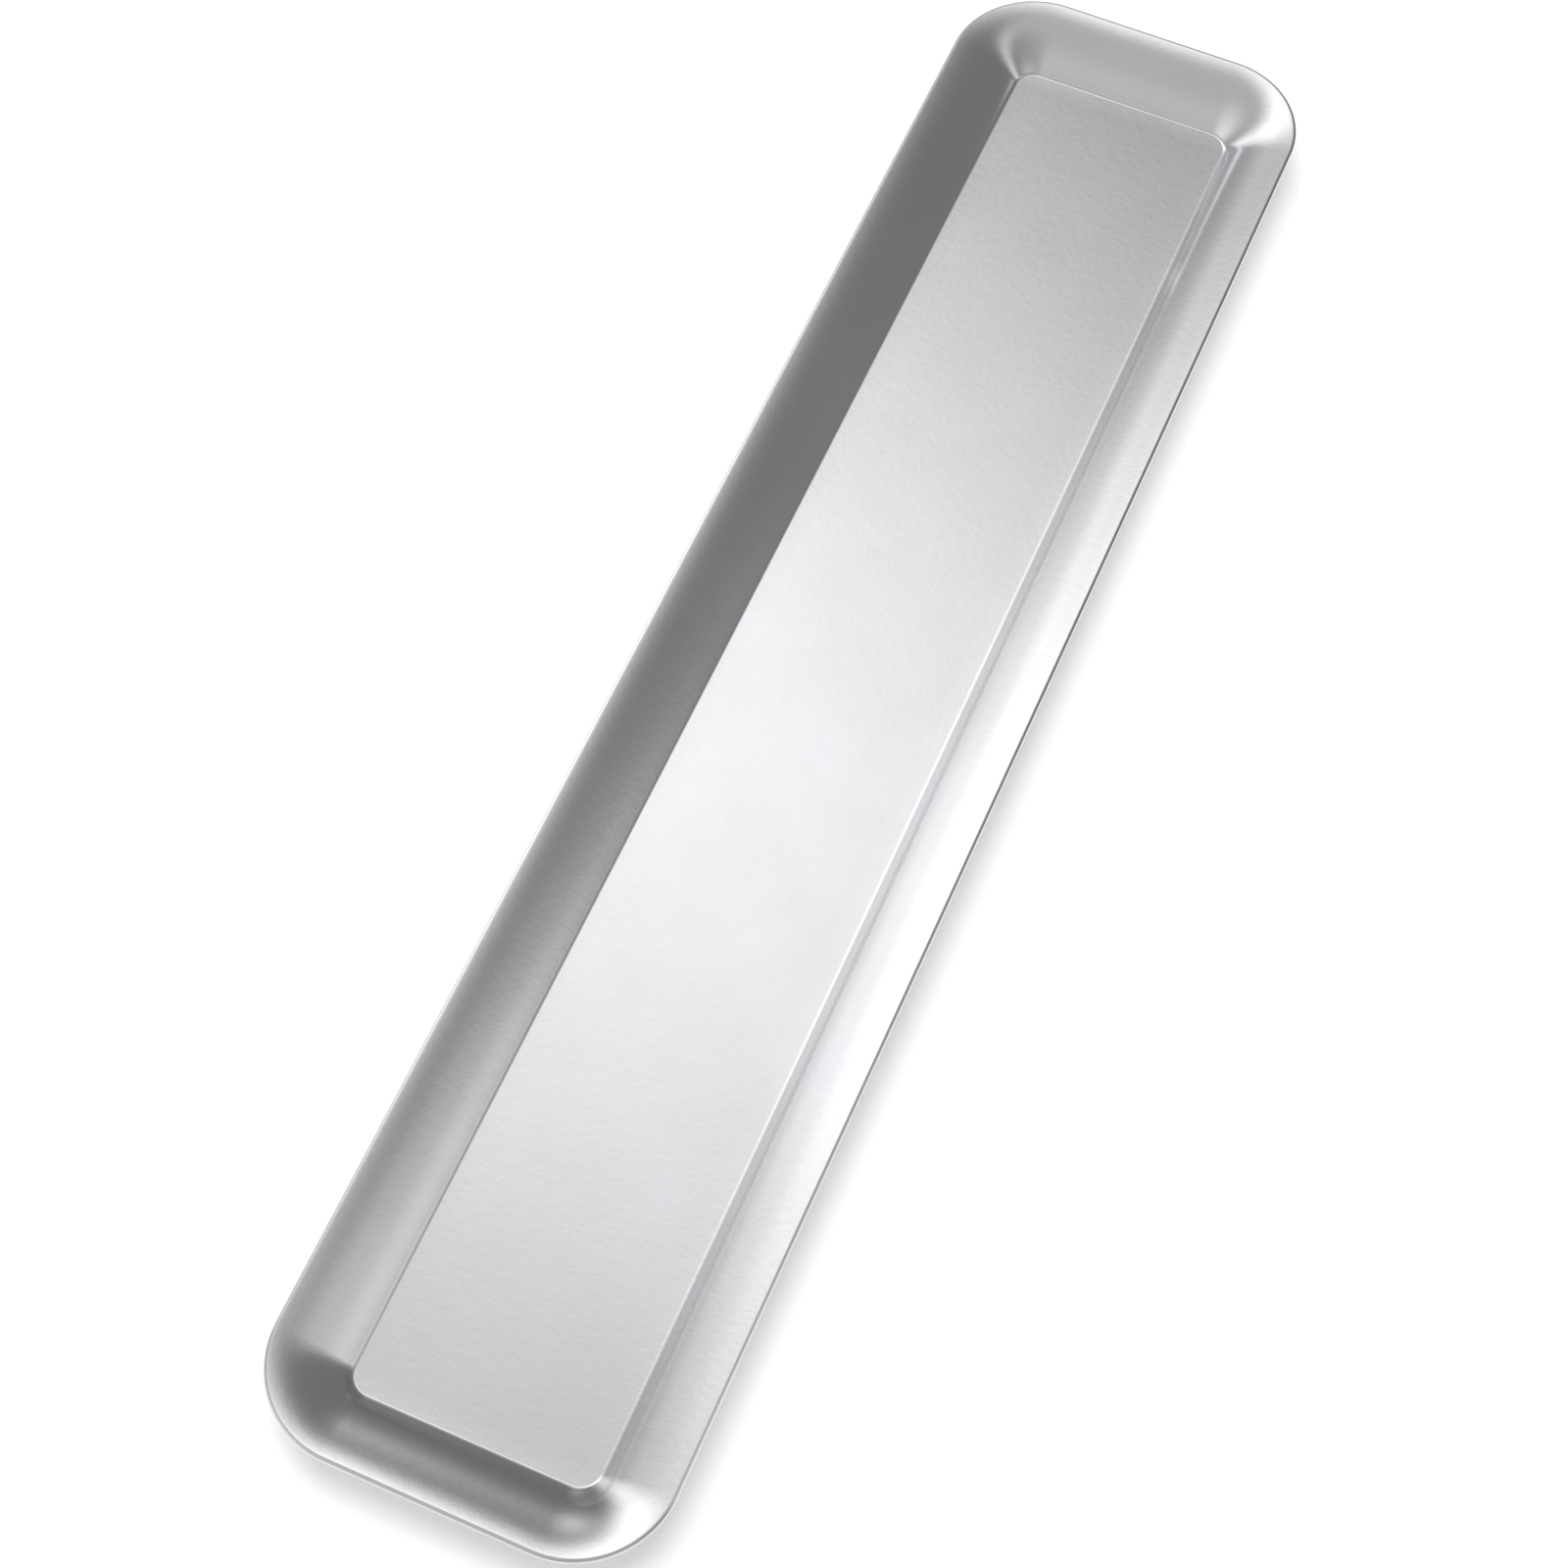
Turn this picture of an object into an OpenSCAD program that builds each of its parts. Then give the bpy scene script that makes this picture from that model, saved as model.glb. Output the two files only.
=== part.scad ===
// Long narrow counting tray, pressed from one sheet of stainless steel.
// A flat floor turns up through a small bend into a wall that flares out until it is nearly
// level, and the edge is folded back under the wall to make a smooth lip.
// Millimetres. +Z is up and +Y runs along the tray. The origin is the middle of the underside.

/* [Tray] */
// Overall length, from lip to lip
tray_l = 300; // [200:1:420]
// Overall width, from lip to lip
tray_w = 66; // [50:1:150]
// Height of the top of the lip above the floor
tray_depth = 6.5; // [4:0.25:9]
// Radius of the tray's four corners, seen from above, at the outside of the lip
corner_r = 16.2; // [13.5:0.1:24]

/* [Sheet] */
// Thickness of the steel sheet
sheet_t = 0.5; // [0.4:0.05:0.8]

/* [Wall] */
// Level distance from the edge of the flat floor to the outside of the lip
wall_run = 12.8; // [10:0.1:15.5]
// Radius of the bend between the floor and the wall, on its upper face
floor_bend_r = 1; // [0.6:0.1:3]
// Slope that the wall still has where it reaches the lip, in degrees
lip_slope = 9; // [0:1:14]

/* [Lip] */
// Gap between the wall and the edge that is folded under it
hem_gap = 0.2; // [0.1:0.05:0.4]
// Length of the edge that is folded under, along its middle
hem_l = 3; // [1:0.25:4]

/* [Hidden] */
$fn = 96;

// Steps along each arc of the section
bend_steps = 8;
flare_steps = 20;
fold_steps = 16;
hem_steps = 5;
cut_steps = 6;

// The fold at the lip goes half way round, from the top of the wall to the folded edge
lip_r = sheet_t + hem_gap / 2;

// Where the wall meets the fold: its distance out from the edge of the floor, and its height
flare_end_x = wall_run - lip_r * (1 + sin(lip_slope));
flare_end_z = tray_depth - lip_r * (1 - cos(lip_slope));

// The wall is two arcs that meet at one slope: the floor bend, then the flare.
// This flare_r is the one that leaves the bend smoothly and reaches the fold at lip_slope.
flare_r = (flare_end_x ^ 2 + flare_end_z ^ 2 - 2 * flare_end_z * floor_bend_r)
    / (2 * (floor_bend_r * (1 - cos(lip_slope)) + flare_end_z * cos(lip_slope)
        - flare_end_x * sin(lip_slope)));

// Centres of the arcs in the section, measured out from the edge of the flat floor
bend_centre = [0, sheet_t + floor_bend_r];
flare_centre = [
    flare_end_x + flare_r * sin(lip_slope),
    sheet_t + flare_end_z - flare_r * cos(lip_slope)
];
wall_angle = atan2(flare_centre.x, bend_centre.y - flare_centre.y);

// Angle round flare_centre at which the flare ends and the fold begins
lip_angle = 90 + lip_slope;
fold_centre = flare_centre + (flare_r - lip_r) * [cos(lip_angle), sin(lip_angle)];

// The folded edge runs beneath the flare, hem_gap away from it, and its cut end is rounded
hem_r = flare_r - sheet_t - hem_gap;
cut_r = sheet_t / 2;
cut_angle = lip_angle + hem_l / (hem_r - cut_r) * 180 / PI;
cut_centre = flare_centre + (hem_r - cut_r) * [cos(cut_angle), sin(cut_angle)];

// The flat floor
floor_l = tray_l - 2 * wall_run;
floor_w = tray_w - 2 * wall_run;
floor_corner_r = corner_r - wall_run;

// Centre of the corner in the +X +Y quarter, where both straight walls end
corner_x = tray_w / 2 - corner_r;
corner_y = tray_l / 2 - corner_r;

// Points along an arc. Its last point is left out, because the next arc starts there.
function arc(centre, r, from, to, steps) = [
    for (i = [0 : steps - 1])
        let (a = from + (to - from) * i / steps)
            centre + r * [cos(a), sin(a)]
];

// Outline of the sheet's section, from the edge of the flat floor out to the lip and back
section = concat(
    // Upper face of the wall
    arc(bend_centre, floor_bend_r, -90, wall_angle - 90, bend_steps),
    arc(flare_centre, flare_r, 90 + wall_angle, lip_angle, flare_steps),
    // Outside of the fold, then the underside of the folded edge
    arc(fold_centre, lip_r, lip_angle, lip_angle - 180, fold_steps),
    arc(flare_centre, hem_r - sheet_t, lip_angle, cut_angle, hem_steps),
    // Round the cut end, then back along the upper face of the folded edge
    arc(cut_centre, cut_r, cut_angle - 180, cut_angle - 360, cut_steps),
    arc(flare_centre, hem_r, cut_angle, lip_angle, hem_steps),
    // Inside of the fold, then the underside of the wall
    arc(fold_centre, hem_gap / 2, lip_angle - 180, lip_angle, fold_steps),
    arc(flare_centre, flare_r - sheet_t, lip_angle, 90 + wall_angle, flare_steps),
    arc(bend_centre, floor_bend_r + sheet_t, wall_angle - 90, -90, bend_steps),
    [[0, 0]]
);

// Flat floor inside the four straight walls
module floor_panel() {
    linear_extrude(sheet_t)
        union() {
            square([floor_w, 2 * corner_y], center = true);
            square([2 * corner_x, floor_l], center = true);
        }
}

// Straight wall on the +X side, with its floor edge at x = floor_edge
module straight_wall(floor_edge, length) {
    translate([floor_edge, 0, 0])
        rotate([90, 0, 0])
            linear_extrude(length, center = true)
                polygon(section);
}

// Corner in the +X +Y quarter: the wall swept a quarter turn, with the floor inside it
module corner_wall() {
    outline = [for (p = section) p + [floor_corner_r, 0]];
    translate([corner_x, corner_y, 0])
        rotate_extrude(angle = 90)
            polygon(concat([[0, sheet_t]], outline, [[0, 0]]));
}

// The whole tray is one pressed sheet, so it is one solid
module tray_pan() {
    color("silver") {
        floor_panel();
        for (turn = [0, 180])
            rotate(turn) {
                straight_wall(floor_w / 2, 2 * corner_y);
                rotate(90) straight_wall(floor_l / 2, 2 * corner_x);
            }
        for (flip_x = [0, 1], flip_y = [0, 1])
            mirror([flip_x, 0, 0])
                mirror([0, flip_y, 0])
                    corner_wall();
    }
}

tray_pan();
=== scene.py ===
"""Counting tray pressed from satin stainless sheet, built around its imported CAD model.

The tray is one piece. Its mesh is the sheet's own section, with its real thickness and its
folded lip, swept round the rounded outline of the floor.
"""

import math

import bmesh
import bpy
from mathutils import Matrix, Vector


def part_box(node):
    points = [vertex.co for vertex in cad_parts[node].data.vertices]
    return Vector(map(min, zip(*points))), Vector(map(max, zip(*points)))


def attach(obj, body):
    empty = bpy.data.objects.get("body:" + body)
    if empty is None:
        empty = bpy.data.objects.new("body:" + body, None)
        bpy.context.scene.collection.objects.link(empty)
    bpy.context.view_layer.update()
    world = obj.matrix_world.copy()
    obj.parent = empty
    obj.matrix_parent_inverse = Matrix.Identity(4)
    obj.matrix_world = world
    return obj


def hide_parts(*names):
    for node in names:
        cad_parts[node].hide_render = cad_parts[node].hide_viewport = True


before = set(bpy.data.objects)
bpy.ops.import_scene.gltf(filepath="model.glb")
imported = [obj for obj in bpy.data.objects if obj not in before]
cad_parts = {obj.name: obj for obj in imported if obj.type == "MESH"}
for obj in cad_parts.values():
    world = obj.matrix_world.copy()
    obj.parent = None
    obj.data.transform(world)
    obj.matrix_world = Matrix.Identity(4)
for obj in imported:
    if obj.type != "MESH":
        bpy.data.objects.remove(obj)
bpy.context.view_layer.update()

MM = 0.001

# ---------------------------------------------------------------- sizes of the tray, in metres

tray_low, tray_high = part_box("tray_pan")
TRAY_W = tray_high.x - tray_low.x
TRAY_L = tray_high.y - tray_low.y
TRAY_H = tray_high.z - tray_low.z

CORNER_R = 16.2 * MM        # corners seen from above, at the outside of the lip
SHEET_T = 0.5 * MM          # thickness of the sheet
WALL_RUN = 12.8 * MM        # level distance from the flat floor to the outside of the lip
FLOOR_BEND_R = 1.0 * MM     # upper face of the bend at the floor
LIP_SLOPE = math.radians(9)  # slope of the wall where it meets the fold
HEM_GAP = 0.2 * MM          # between the wall and the edge folded under it
HEM_L = 3.0 * MM            # length of the folded edge

# Middle of the corner in the +X +Y quarter, where both straight sides end
CORNER_X = TRAY_W / 2 - CORNER_R
CORNER_Y = TRAY_L / 2 - CORNER_R

# Steps along each arc of the section, round each corner, and along the straight sides
BEND_STEPS = 14
FLARE_STEPS = 36
FOLD_STEPS = 22
HEM_STEPS = 6
CUT_STEPS = 8
CORNER_STEPS = 28
SHORT_SIDE_STEPS = 8
LONG_SIDE_STEPS = 52

# ---------------------------------------------------------------- camera

CAMERA_SPOT = (93.2 * MM, -232.5 * MM, 452.3 * MM)
CAMERA_TURN = (27.40, 0.03, 23.67)  # degrees
CAMERA_LENS = 70.97                 # focal length in millimetres
CAMERA_SENSOR = 36                  # width in millimetres


def add_camera():
    data = bpy.data.cameras.new("camera")
    data.sensor_width = CAMERA_SENSOR
    data.lens = CAMERA_LENS
    data.clip_start = 0.01
    data.clip_end = 20
    camera = bpy.data.objects.new("camera", data)
    camera.location = CAMERA_SPOT
    camera.rotation_euler = [math.radians(a) for a in CAMERA_TURN]
    bpy.context.scene.collection.objects.link(camera)
    bpy.context.scene.camera = camera


# ---------------------------------------------------------------- the pressed sheet

def arc(centre, radius, start, end, steps):
    """Points along an arc, without its last point, because the next arc starts there."""
    points = []
    for i in range(steps):
        a = start + (end - start) * i / steps
        points.append((centre[0] + radius * math.cos(a), centre[1] + radius * math.sin(a)))
    return points


def sheet_section():
    """The sheet's outline from the floor's edge out to the lip and back, as (outward, height)."""
    half_turn = math.pi
    up = half_turn / 2
    lip_r = SHEET_T + HEM_GAP / 2
    depth = TRAY_H - SHEET_T
    sin_lip = math.sin(LIP_SLOPE)
    cos_lip = math.cos(LIP_SLOPE)

    # The wall is the floor bend, then one flare that ends at the fold with the lip's slope
    end_x = WALL_RUN - lip_r * (1 + sin_lip)
    end_z = depth - lip_r * (1 - cos_lip)
    flare_r = (end_x ** 2 + end_z ** 2 - 2 * end_z * FLOOR_BEND_R) / (
        2 * (FLOOR_BEND_R * (1 - cos_lip) + end_z * cos_lip - end_x * sin_lip))
    bend = (0, SHEET_T + FLOOR_BEND_R)
    flare = (end_x + flare_r * sin_lip, SHEET_T + end_z - flare_r * cos_lip)
    wall_angle = math.atan2(flare[0], bend[1] - flare[1])

    # The fold goes half way round, and the hem runs back under the flare to a rounded cut
    lip_angle = up + LIP_SLOPE
    fold = (
        flare[0] + (flare_r - lip_r) * math.cos(lip_angle),
        flare[1] + (flare_r - lip_r) * math.sin(lip_angle))
    hem_r = flare_r - SHEET_T - HEM_GAP
    cut_r = SHEET_T / 2
    cut_angle = lip_angle + HEM_L / (hem_r - cut_r)
    cut = (
        flare[0] + (hem_r - cut_r) * math.cos(cut_angle),
        flare[1] + (hem_r - cut_r) * math.sin(cut_angle))

    return (
        arc(bend, FLOOR_BEND_R, -up, wall_angle - up, BEND_STEPS)
        + arc(flare, flare_r, up + wall_angle, lip_angle, FLARE_STEPS)
        + arc(fold, lip_r, lip_angle, lip_angle - half_turn, FOLD_STEPS)
        + arc(flare, hem_r - SHEET_T, lip_angle, cut_angle, HEM_STEPS)
        + arc(cut, cut_r, cut_angle - half_turn, cut_angle - 2 * half_turn, CUT_STEPS)
        + arc(flare, hem_r, cut_angle, lip_angle, HEM_STEPS)
        + arc(fold, HEM_GAP / 2, lip_angle - half_turn, lip_angle, FOLD_STEPS)
        + arc(flare, flare_r - SHEET_T, lip_angle, up + wall_angle, FLARE_STEPS)
        + arc(bend, FLOOR_BEND_R + SHEET_T, wall_angle - up, -up, BEND_STEPS)
        + [(0, 0)]
    )


def floor_outline():
    """Stations round the tray: (point on the rectangle of corner middles, outward direction)."""
    corners = [
        Vector((CORNER_X, CORNER_Y)), Vector((-CORNER_X, CORNER_Y)),
        Vector((-CORNER_X, -CORNER_Y)), Vector((CORNER_X, -CORNER_Y))]
    side_steps = [SHORT_SIDE_STEPS, LONG_SIDE_STEPS, SHORT_SIDE_STEPS, LONG_SIDE_STEPS]
    stations = []
    for k, here in enumerate(corners):
        there = corners[(k + 1) % len(corners)]
        for i in range(CORNER_STEPS):
            turn = math.pi / 2 * (k + i / CORNER_STEPS)
            stations.append((here, Vector((math.cos(turn), math.sin(turn)))))
        turn = math.pi / 2 * (k + 1)
        for i in range(side_steps[k]):
            spot = here.lerp(there, i / side_steps[k])
            stations.append((spot, Vector((math.cos(turn), math.sin(turn)))))
    return stations


def close_floor(bm, ring, height):
    """Fills the flat floor inside a ring of vertices: a strip round the edge, then a grid."""
    core = {}

    def core_vert(spot):
        key = (round(spot.x, 6), round(spot.y, 6))
        if key not in core:
            core[key] = bm.verts.new((spot.x, spot.y, height))
        return core[key]

    stations = floor_outline()
    for i, vert in enumerate(ring):
        j = (i + 1) % len(ring)
        a, b = core_vert(stations[i][0]), core_vert(stations[j][0])
        corners = [vert, ring[j], b, a] if a != b else [vert, ring[j], a]
        bm.faces.new(corners)

    for i in range(SHORT_SIDE_STEPS):
        for j in range(LONG_SIDE_STEPS):
            x = [CORNER_X * (2 * (i + s) / SHORT_SIDE_STEPS - 1) for s in (0, 1)]
            y = [CORNER_Y * (2 * (j + s) / LONG_SIDE_STEPS - 1) for s in (0, 1)]
            spots = [(x[0], y[0]), (x[1], y[0]), (x[1], y[1]), (x[0], y[1])]
            bm.faces.new([core_vert(Vector(s)) for s in spots])


def make_pan():
    """The whole tray as one closed mesh."""
    bm = bmesh.new()
    section = sheet_section()
    floor_r = CORNER_R - WALL_RUN
    rings = []
    for outward, height in section:
        ring = []
        for spot, away in floor_outline():
            p = spot + away * (floor_r + outward)
            ring.append(bm.verts.new((p.x, p.y, height)))
        rings.append(ring)
    count = len(rings[0])
    for lower, upper in zip(rings, rings[1:]):
        for i in range(count):
            j = (i + 1) % count
            bm.faces.new([lower[i], upper[i], upper[j], lower[j]])
    close_floor(bm, rings[0], SHEET_T)
    close_floor(bm, rings[-1], 0)
    bmesh.ops.recalc_face_normals(bm, faces=bm.faces)
    for face in bm.faces:
        face.smooth = True
    mesh = bpy.data.meshes.new("pressed_tray")
    bm.to_mesh(mesh)
    bm.free()
    pan = bpy.data.objects.new("pressed_tray", mesh)
    bpy.context.scene.collection.objects.link(pan)
    return pan


# ---------------------------------------------------------------- materials

def new_material(name):
    material = bpy.data.materials.new(name)
    material.use_nodes = True
    tree = material.node_tree
    shader = tree.nodes["Principled BSDF"]
    return material, tree, shader


def compute(tree, operation, *values):
    """A math node, whose inputs are sockets or plain numbers."""
    node = tree.nodes.new("ShaderNodeMath")
    node.operation = operation
    for socket, value in zip(node.inputs, values):
        if isinstance(value, (int, float)):
            socket.default_value = value
        else:
            tree.links.new(value, socket)
    return node.outputs["Value"]


# Blender's noise seldom leaves this range
NOISE_LOW = 0.3
NOISE_HIGH = 0.7


def noise(tree, place, size, detail=2.0, roughness=0.5):
    """Noise whose features are about `size` metres across."""
    node = tree.nodes.new("ShaderNodeTexNoise")
    node.inputs["Scale"].default_value = 1 / size
    node.inputs["Detail"].default_value = detail
    node.inputs["Roughness"].default_value = roughness
    tree.links.new(place, node.inputs["Vector"])
    return node.outputs["Fac"]


def spread(tree, value, low, high):
    """Stretches noise to run from low to high."""
    node = tree.nodes.new("ShaderNodeMapRange")
    node.inputs["From Min"].default_value = NOISE_LOW
    node.inputs["From Max"].default_value = NOISE_HIGH
    node.inputs["To Min"].default_value = low
    node.inputs["To Max"].default_value = high
    tree.links.new(value, node.inputs["Value"])
    return node.outputs["Result"]


def tint(tree, value, dark, light):
    """A colour that goes from dark to light with the noise."""
    node = tree.nodes.new("ShaderNodeValToRGB")
    node.color_ramp.elements[0].position = NOISE_LOW
    node.color_ramp.elements[0].color = (*dark, 1)
    node.color_ramp.elements[1].position = NOISE_HIGH
    node.color_ramp.elements[1].color = (*light, 1)
    tree.links.new(value, node.inputs["Fac"])
    return node.outputs["Color"]


def bump(tree, height, distance, strength, under=None):
    """Surface relief as deep as `distance`, on top of the relief in `under`."""
    node = tree.nodes.new("ShaderNodeBump")
    node.inputs["Distance"].default_value = distance
    node.inputs["Strength"].default_value = strength
    tree.links.new(height, node.inputs["Height"])
    if under is not None:
        tree.links.new(under, node.inputs["Normal"])
    return node.outputs["Normal"]


# Satin stainless: two shades that the metal drifts between, and its range of roughness
WARM_STEEL = (0.725, 0.72, 0.72)
COOL_STEEL = (0.745, 0.75, 0.77)
SMOOTHEST = 0.13
ROUGHEST = 0.16


def satin_stainless():
    """Pressed stainless: satin, with a very fine orange-peel grain and a faint drift in tone."""
    material, tree, shader = new_material("satin_stainless")
    place = tree.nodes.new("ShaderNodeTexCoord").outputs["Object"]
    shader.inputs["Metallic"].default_value = 1.0

    drift = noise(tree, place, 24 * MM, detail=2)
    tree.links.new(
        tint(tree, drift, WARM_STEEL, COOL_STEEL),
        shader.inputs["Base Color"])

    smear = noise(tree, place, 7 * MM, detail=4, roughness=0.6)
    tree.links.new(spread(tree, smear, SMOOTHEST, ROUGHEST), shader.inputs["Roughness"])

    peel = noise(tree, place, 1.3 * MM, detail=3, roughness=0.6)
    grain = noise(tree, place, 0.35 * MM, detail=1)
    normal = bump(tree, peel, 0.02 * MM, 0.6)
    normal = bump(tree, grain, 0.006 * MM, 0.6, under=normal)
    tree.links.new(normal, shader.inputs["Normal"])
    return material


# ---------------------------------------------------------------- floor, light and background

FLOOR_SIZE = 12.0
FLOOR_GAP = 0.05 * MM       # the floor lies just under the tray
FLOOR_GREY = 0.8
FLOOR_ROUGHNESS = 0.9
FLOOR_GLOW = 0.27           # lifts the lit floor to white


def add_floor():
    bm = bmesh.new()
    bmesh.ops.create_grid(bm, x_segments=4, y_segments=4, size=FLOOR_SIZE / 2)
    mesh = bpy.data.meshes.new("floor")
    bm.to_mesh(mesh)
    bm.free()
    floor = bpy.data.objects.new("floor", mesh)
    floor.location.z = tray_low.z - FLOOR_GAP
    bpy.context.scene.collection.objects.link(floor)
    floor.data.materials.append(white_floor())


def seen_directly(tree):
    """1 for rays from the camera, and for what metal or glass shows, and 0 for the rest."""
    path = tree.nodes.new("ShaderNodeLightPath")
    seen = path.outputs["Is Camera Ray"]
    for name in ("Is Glossy Ray", "Is Transmission Ray"):
        seen = compute(tree, "MAXIMUM", seen, path.outputs[name])
    return seen


def white_floor():
    """A matt floor that keeps the tray's shadow, with a glow that lifts it to white."""
    material, tree, shader = new_material("white_floor")
    shader.inputs["Base Color"].default_value = (FLOOR_GREY, FLOOR_GREY, FLOOR_GREY, 1)
    shader.inputs["Roughness"].default_value = FLOOR_ROUGHNESS
    shader.inputs["Emission Color"].default_value = (1, 1, 1, 1)
    glow = compute(tree, "MULTIPLY", seen_directly(tree), FLOOR_GLOW)
    tree.links.new(glow, shader.inputs["Emission Strength"])
    return material


KEY_LAMP_TURN = (-29, 0, 27)    # degrees: it shines down from the far left
KEY_LAMP_SPREAD = 60            # degrees
KEY_LAMP_STRENGTH = 2.0


def add_key_lamp():
    """A soft lamp that brings matt surfaces to a plain level. The tray mirrors the room instead."""
    data = bpy.data.lights.new("key_lamp", "SUN")
    data.angle = math.radians(KEY_LAMP_SPREAD)
    data.energy = KEY_LAMP_STRENGTH
    lamp = bpy.data.objects.new("key_lamp", data)
    lamp.rotation_euler = [math.radians(a) for a in KEY_LAMP_TURN]
    lamp.visible_glossy = False
    bpy.context.scene.collection.objects.link(lamp)


# Brightness of the studio between its lights
ROOM_LEVEL = 0.2

# Soft lights of the studio, as seen from the tray. Compass direction (0 is the far end, 90 the
# right side), height above the horizon, spread sideways and upward, in degrees; and strength.
# The tray's flat floor mirrors the first two towards the camera.
SOFT_LIGHTS = [
    (-40, 55, 12, 12, 0.95),    # softbox at the far left
    (-15, 65, 12, 12, 0.60),    # second softbox, higher at the far end
    (-55, 40, 10, 15, 0.95),    # third softbox, lower on the left
    (-65, 15, 10, 25, 0.90),    # tall strip on the left, down to the table
    (-25, 25, 12, 12, 0.50),    # low light at the far left
    (75, 20, 8, 25, 0.60),      # narrow tall strip on the right
    (70, 55, 8, 20, 0.30),      # its weaker upper half
    (-140, 45, 45, 30, 0.45),   # broad wall at the near left
    (25, 90, 35, 25, 0.25),     # overhead
    (-125, 15, 30, 25, 0.60),   # low wall on the left, towards the near end
    (130, 15, 30, 25, 0.60),    # low wall on the right, towards the near end
]

# How quickly a light fades in across the line square to its direction
EDGE_FADE = 3.0


def along(tree, place, direction):
    """How far a direction seen from the tray reaches along another direction."""
    node = tree.nodes.new("ShaderNodeVectorMath")
    node.operation = "DOT_PRODUCT"
    tree.links.new(place, node.inputs[0])
    node.inputs[1].default_value = direction
    return node.outputs["Value"]


def soft_light(tree, place, compass, height, sideways, upward, strength):
    """A patch of light that fades out smoothly round its middle."""
    bearing = math.radians(compass)
    rise_angle = math.radians(height)
    level = math.cos(rise_angle)
    ahead = Vector((
        math.sin(bearing) * level, math.cos(bearing) * level, math.sin(rise_angle)))
    side = Vector((math.cos(bearing), -math.sin(bearing), 0))
    over = side.cross(ahead)
    across = along(tree, place, side / math.sin(math.radians(sideways)))
    rise = along(tree, place, over / math.sin(math.radians(upward)))
    distance = compute(
        tree, "ADD",
        compute(tree, "MULTIPLY", across, across),
        compute(tree, "MULTIPLY", rise, rise))
    fade = compute(tree, "EXPONENT", compute(tree, "MULTIPLY", distance, -1.0))
    # The opposite half of the room stays dark, and the light fades in past that line
    facing = compute(tree, "MAXIMUM", along(tree, place, ahead * EDGE_FADE), 0.0)
    in_front = compute(tree, "MINIMUM", facing, 1.0)
    return compute(tree, "MULTIPLY", fade, compute(tree, "MULTIPLY", in_front, strength))


def add_world():
    world = bpy.data.worlds.new("studio")
    bpy.context.scene.world = world
    world.use_nodes = True
    tree = world.node_tree
    background = tree.nodes["Background"]
    background.inputs["Color"].default_value = (1, 1, 1, 1)
    place = tree.nodes.new("ShaderNodeTexCoord").outputs["Generated"]
    total = ROOM_LEVEL
    for light in SOFT_LIGHTS:
        total = compute(tree, "ADD", soft_light(tree, place, *light), total)
    # The camera sees a white backdrop, and the metal mirrors the soft lights
    path = tree.nodes.new("ShaderNodeLightPath")
    shown = tree.nodes.new("ShaderNodeMix")
    tree.links.new(path.outputs["Is Camera Ray"], shown.inputs["Factor"])
    tree.links.new(total, shown.inputs["A"])
    shown.inputs["B"].default_value = 1.0
    tree.links.new(shown.outputs["Result"], background.inputs["Strength"])


# ---------------------------------------------------------------- the scene

add_camera()
pan = make_pan()
pan.data.materials.append(satin_stainless())
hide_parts("tray_pan")
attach(pan, "root")
add_floor()
add_key_lamp()
add_world()

scene = bpy.context.scene
scene.view_settings.view_transform = "Standard"
